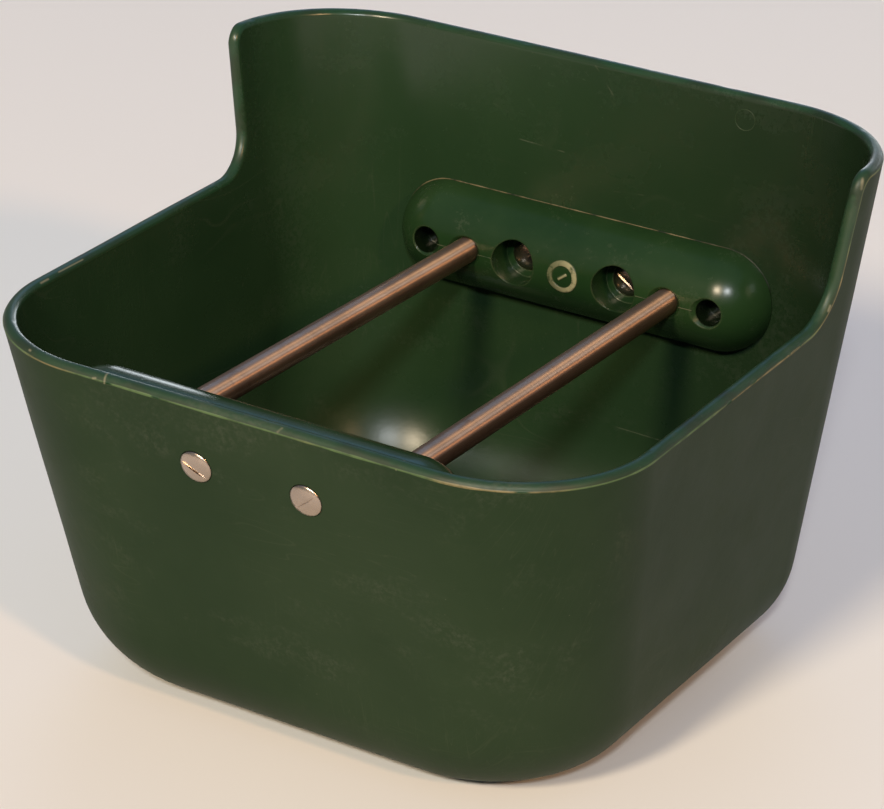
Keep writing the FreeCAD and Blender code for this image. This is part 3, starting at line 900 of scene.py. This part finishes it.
at = np.zeros(len(tub.data.vertices))
tub.data.attributes["glossy"].data.foreach_get("value", at)
for poly in tub.data.polygons:
    poly.material_index = 1 if min(at[i] for i in poly.vertices) > 0.5 else 0


def holder_material():
    m, nt, b = mat_new("holder_plastic_look")
    g = G(nt)
    P = g.coord()
    big = g.noise(P, 22.0, 4.0, 0.55)
    fine = g.noise(P, 420.0, 4.0, 0.75)
    cloud = g.range(g.noise(P, 38.0, 7.0, 0.68, 0.4), 0.5, 0.72)
    col = g.mix(g.range(big, 0.35, 0.68), (0.0110, 0.0330, 0.0095), (0.0165, 0.0420, 0.0125))
    scuff = g.mul(cloud, g.range(fine, 0.42, 0.66))
    col = g.mix(g.mul(scuff, 0.30), col, (0.055, 0.075, 0.040))
    # rubbed edges of the holes and counterbores
    bev = nt.nodes.new("ShaderNodeBevel")
    bev.samples = 4
    bev.inputs["Radius"].default_value = 0.0011
    geo = nt.nodes.new("ShaderNodeNewGeometry")
    edge = g.math("SUBTRACT", 1.0, g.vmath("DOT_PRODUCT", bev.outputs[0], geo.outputs["Normal"]))
    edge = g.mul(g.range(edge, 0.02, 0.22), g.range(g.noise(P, 90.0, 3.0), 0.30, 0.62))
    col = g.mix(g.mul(edge, 0.55), col, (0.105, 0.120, 0.060))
    # painted shade: darker over the lower half, and near black inside the spare sockets
    x, y, z = g.sep(P)
    col = g.mix(g.range(z, 0.119, 0.144, 0.48, 0.0), col, (0.0042, 0.0095, 0.0050))
    for sx in (-1, 1):
        hz = nt.nodes.new("ShaderNodeCombineXYZ")
        nt.links.new(g.math("SUBTRACT", x, sx * SPARE_X * MM), hz.inputs[0])
        nt.links.new(g.math("SUBTRACT", z, BAR_Z * MM), hz.inputs[2])
        near = g.range(g.vmath("LENGTH", hz.outputs[0]), 0.00608, 0.00630, 0.85, 0.0)
        col = g.mix(near, col, (0.0022, 0.0040, 0.0018))
    # pale ring, heavier on its right side, in the middle of the crest, with a pale dash in it that is a painted
    # glint
    xz = nt.nodes.new("ShaderNodeCombineXYZ")
    nt.links.new(x, xz.inputs[0])
    nt.links.new(g.math("SUBTRACT", z, BAR_Z * MM), xz.inputs[2])
    rad = g.vmath("LENGTH", xz.outputs[0])
    band = g.mul(g.range(rad, 0.00505, 0.0053), g.range(rad, 0.0074, 0.0077, 1.0, 0.0))
    thick = g.range(x, -0.006, 0.005, 0.35, 1.0)
    mottled = g.range(g.noise(P, 330.0, 3.0, 0.6), 0.30, 0.55, 0.25, 1.0)
    ring_and_glint = g.mul(g.mul(band, thick), mottled)
    glint_dash = g.segment(xz.outputs[0], (-0.0016, 0, -0.0013), (0.0018, 0, 0.0014), 0.0009)
    ring_and_glint = g.math("MAXIMUM", ring_and_glint, g.mul(glint_dash, 0.9))
    ring_and_glint = g.mul(ring_and_glint, g.range(y, 0.1170, 0.1175, 1.0, 0.0))
    ring_and_glint = g.mul(ring_and_glint, g.range(y, 0.100, 0.110, 0.0, 1.0))
    col = g.mix(g.mul(ring_and_glint, 0.85), col, (0.36, 0.34, 0.19))
    nt.links.new(col, b.inputs["Base Color"])
    ro = g.add(g.math("MULTIPLY", big, 0.12), g.add(g.mul(scuff, 0.2), 0.17))
    ro = g.add(ro, g.mul(ring_and_glint, 0.2))
    nt.links.new(ro, b.inputs["Roughness"])
    h = g.add(g.mul(g.math("SUBTRACT", g.noise(P, 520.0, 2.0), 0.5), 0.3), g.mul(g.math("SUBTRACT", g.noise(P, 120.0, 3.0), 0.5), 0.8))
    nt.links.new(g.bump(h, 0.00006, normal=bev.outputs[0]), b.inputs["Normal"])
    b.inputs["IOR"].default_value = 1.49
    b.inputs["Specular IOR Level"].default_value = 0.36
    return m


def flash_material():
    m, nt, b = mat_new("flash_wear_and_highlight_look")
    g = G(nt)
    P = g.coord()
    x, y, z = g.sep(P)
    brk = g.range(g.noise(P, 95.0, 3.0, 0.6), 0.32, 0.58)
    # the seam is pale along its top except at its right end, partly worn edge and partly painted highlight, and
    # dark elsewhere as a joint line
    worn_and_lit_top = g.mul(g.range(z, 0.150, 0.166), g.range(x, 0.040, 0.078, 1.0, 0.12))
    col = g.mix(g.mul(brk, worn_and_lit_top), (0.006, 0.012, 0.005), (0.17, 0.135, 0.070))
    nt.links.new(col, b.inputs["Base Color"])
    nt.links.new(g.range(g.noise(P, 300.0, 2.0), 0.3, 0.7, 0.35, 0.5), b.inputs["Roughness"])
    return m


def crest_material():
    m, nt, b = mat_new("parting_line_look")
    g = G(nt)
    P = g.coord()
    brk = g.range(g.noise(P, 140.0, 3.0, 0.6), 0.30, 0.60)
    col = g.mix(brk, (0.018, 0.045, 0.015), (0.085, 0.090, 0.045))
    nt.links.new(col, b.inputs["Base Color"])
    nt.links.new(g.range(g.noise(P, 300.0, 2.0), 0.3, 0.7, 0.30, 0.45), b.inputs["Roughness"])
    return m


def ejector_material():
    m, nt, b = mat_new("ejector_mark_look")
    g = G(nt)
    P = g.coord()
    col = g.mix(g.range(g.noise(P, 160.0, 3.0), 0.35, 0.62), (0.017, 0.042, 0.013), (0.040, 0.062, 0.028))
    nt.links.new(col, b.inputs["Base Color"])
    nt.links.new(g.range(g.noise(P, 300.0, 2.0), 0.3, 0.7, 0.32, 0.45), b.inputs["Roughness"])
    return m


def steel_material(name, base, rough, brushed=False, grime=0.3):
    m, nt, b = mat_new(name)
    if brushed:
        tan = nt.nodes.new("ShaderNodeTangent")
        tan.direction_type = "RADIAL"
        tan.axis = "Y"
        nt.links.new(tan.outputs[0], b.inputs["Tangent"])
        b.inputs["Anisotropic"].default_value = 1.0
        b.inputs["Anisotropic Rotation"].default_value = 0.25
    g = G(nt)
    P = g.coord()
    b.inputs["Metallic"].default_value = 0.92 if brushed else 1.0
    big = g.noise(P, 30.0, 4.0, 0.6)
    # fine grinding lines run round the bar, so they vary quickly along Y only
    fine = g.noise(g.mapping(P, (18, 2600, 18)), 1.0, 3.0, 0.6)
    col = g.mix(g.range(big, 0.35, 0.7), base, tuple(v * 0.80 for v in base))
    stain_and_painted_shade = g.range(g.noise(P, 60.0, 6.0, 0.7), 0.55, 0.75)
    col = g.mix(g.mul(stain_and_painted_shade, grime), col, (0.24, 0.125, 0.065))
    nt.links.new(col, b.inputs["Base Color"])
    ro = g.add(g.mul(g.math("SUBTRACT", fine, 0.5), 0.18), g.add(g.mul(stain_and_painted_shade, 0.12), rough))
    nt.links.new(ro, b.inputs["Roughness"])
    h = g.add(g.mul(fine, 0.5), g.mul(g.noise(P, 300.0, 3.0), 0.5))
    nt.links.new(g.bump(h, 0.000007 if brushed else 0.00002), b.inputs["Normal"])
    return m


holder_mat = holder_material()
# painted reflection: the warm copper tint of the bar and fixing steel stands in for warm lamplight reflected in
# plain steel
bar_mat = steel_material("bar_steel_look", (0.54, 0.35, 0.24), 0.36, brushed=True, grime=0.40)
fix_mat = steel_material("fixing_steel_look", (0.50, 0.41, 0.335), 0.27, grime=0.35)
for o in bar_objs:
    o.data.materials.append(bar_mat)
for o in threads + screws:
    o.data.materials.clear()
    o.data.materials.append(fix_mat)
seam.data.materials.append(flash_material())
ejector.data.materials.append(ejector_material())
cm = crest_material()
for o in crest_lines:
    o.data.materials.append(cm)
for n, o in nodes.items():
    if n in ("tub", "bar_left", "bar_right"):
        continue
    mm = holder_mat if "holder" in n else fix_mat
    o.data.materials.clear()
    o.data.materials.append(mm)

# ------------------------------------------------------------------ stage, lights, camera
R_CAM = np.array([[0.859361, 0.509078, 0.048357], [-0.245064, 0.326989, 0.9127], [0.448823, -0.79619, 0.405758]])
C_CAM = np.array([656.955, -1148.449, 710.048]) * MM
cam_data = bpy.data.cameras.new("camera")
cam_data.sensor_fit = "HORIZONTAL"
cam_data.sensor_width = 36.0
cam_data.lens = 138.8145
cam_data.shift_x = -0.00593
cam_data.shift_y = -0.00116
cam_data.clip_start = 0.05
cam_data.clip_end = 50
cam = bpy.data.objects.new("camera", cam_data)
scene.collection.objects.link(cam)
M = Matrix.Identity(4)
for i in range(3):
    for j in range(3):
        M[i][j] = R_CAM[j][i]
    M[i][3] = C_CAM[i]
cam.matrix_world = M
scene.camera = cam


def stage_floor():
    n = 96
    ext = 14.0
    v, f = [], []
    for j in range(n + 1):
        for i in range(n + 1):
            v.append((-ext + 2 * ext * i / n, -ext + 2 * ext * j / n, 0.0))
    for j in range(n):
        for i in range(n):
            a = j * (n + 1) + i
            f.append((a, a + 1, a + n + 2, a + n + 1))
    me = bpy.data.meshes.new("stage_floor")
    me.from_pydata(v, [], f)
    ob = bpy.data.objects.new("stage_floor", me)
    scene.collection.objects.link(ob)
    ob.location.z = -0.0002
    m, nt, b = mat_new("stage_floor_look")
    g = G(nt)
    P = g.coord()
    col = g.mix(g.noise(P, 3.0, 3.0), (0.86, 0.84, 0.80), (0.89, 0.87, 0.83))
    nt.links.new(col, b.inputs["Base Color"])
    b.inputs["Roughness"].default_value = 0.8
    me.materials.append(m)
    return ob


stage_floor()


def area(name, loc, target, size, power, color, size_y=None):
    d = bpy.data.lights.new(name, "AREA")
    d.shape = "RECTANGLE" if size_y else "DISK"
    d.size = size
    if size_y:
        d.size_y = size_y
    d.energy = power
    d.color = color
    o = bpy.data.objects.new(name, d)
    scene.collection.objects.link(o)
    o.location = loc
    o.visible_camera = False
    o.rotation_mode = "QUATERNION"
    o.rotation_quaternion = (Vector(target) - Vector(loc)).to_track_quat("-Z", "Y")
    return o


def from_direction(name, az, el, dist, size, power, color, size_y=None):
    """Light seen from the trough at that azimuth (from +Y towards +X) and elevation."""
    a, e = math.radians(az), math.radians(el)
    t = Vector((0, 0, 0.14))
    p = t + dist * Vector((math.cos(e) * math.sin(a), math.cos(e) * math.cos(a), math.sin(e)))
    return area(name, p, t, size, power, color, size_y)


# warm key from straight in front, a cooler one right of it, an orange one low on the right and
# a dim blue one high behind on the left, where the photo's shadows, sparkle, the line on the
# bars, the glints on the bowl's floor and the blue sheen on the rim put them; a long low one
# behind opens up the back
from_direction("key_warm", 179, 33, 9.0, 1.25, 570, (1.0, 0.81, 0.57))
from_direction("key_cool", 154, 34, 9.0, 0.74, 335, (0.93, 0.97, 1.0))
from_direction("right_orange", 119, 31, 9.0, 0.84, 250, (1.0, 0.57, 0.28))
from_direction("window_blue", -28, 42, 9.0, 4.8, 60, (0.28, 0.54, 1.0))
from_direction("back_fill", -12, 7, 9.0, 7.0, 230, (0.86, 0.94, 1.0), 2.0)
world = bpy.data.worlds.new("world")
world.use_nodes = True
wt = world.node_tree
bg = wt.nodes["Background"]
wc = wt.nodes.new("ShaderNodeTexCoord")
ws = wt.nodes.new("ShaderNodeSeparateXYZ")
wr = wt.nodes.new("ShaderNodeValToRGB")
wr.color_ramp.elements[0].position = 0.0
wr.color_ramp.elements[0].color = (0.64, 0.64, 0.62, 1)
wr.color_ramp.elements[1].position = 0.75
wr.color_ramp.elements[1].color = (0.42, 0.58, 0.90, 1)
wt.links.new(wc.outputs["Generated"], ws.inputs[0])
wt.links.new(ws.outputs[2], wr.inputs[0])
wt.links.new(wr.outputs[0], bg.inputs[0])
bg.inputs[1].default_value = 0.30
# past the floor's far edge the camera sees the same pale tone as the floor
pale = wt.nodes.new("ShaderNodeBackground")
pale.inputs[0].default_value = (0.80, 0.79, 0.78, 1)
lp = wt.nodes.new("ShaderNodeLightPath")
pick = wt.nodes.new("ShaderNodeMixShader")
wt.links.new(lp.outputs["Is Camera Ray"], pick.inputs[0])
wt.links.new(bg.outputs[0], pick.inputs[1])
wt.links.new(pale.outputs[0], pick.inputs[2])
wt.links.new(pick.outputs[0], wt.nodes["World Output"].inputs[0])
scene.world = world
scene.view_settings.view_transform = "Standard"
scene.view_settings.look = "None"
scene.view_settings.exposure = 0.0
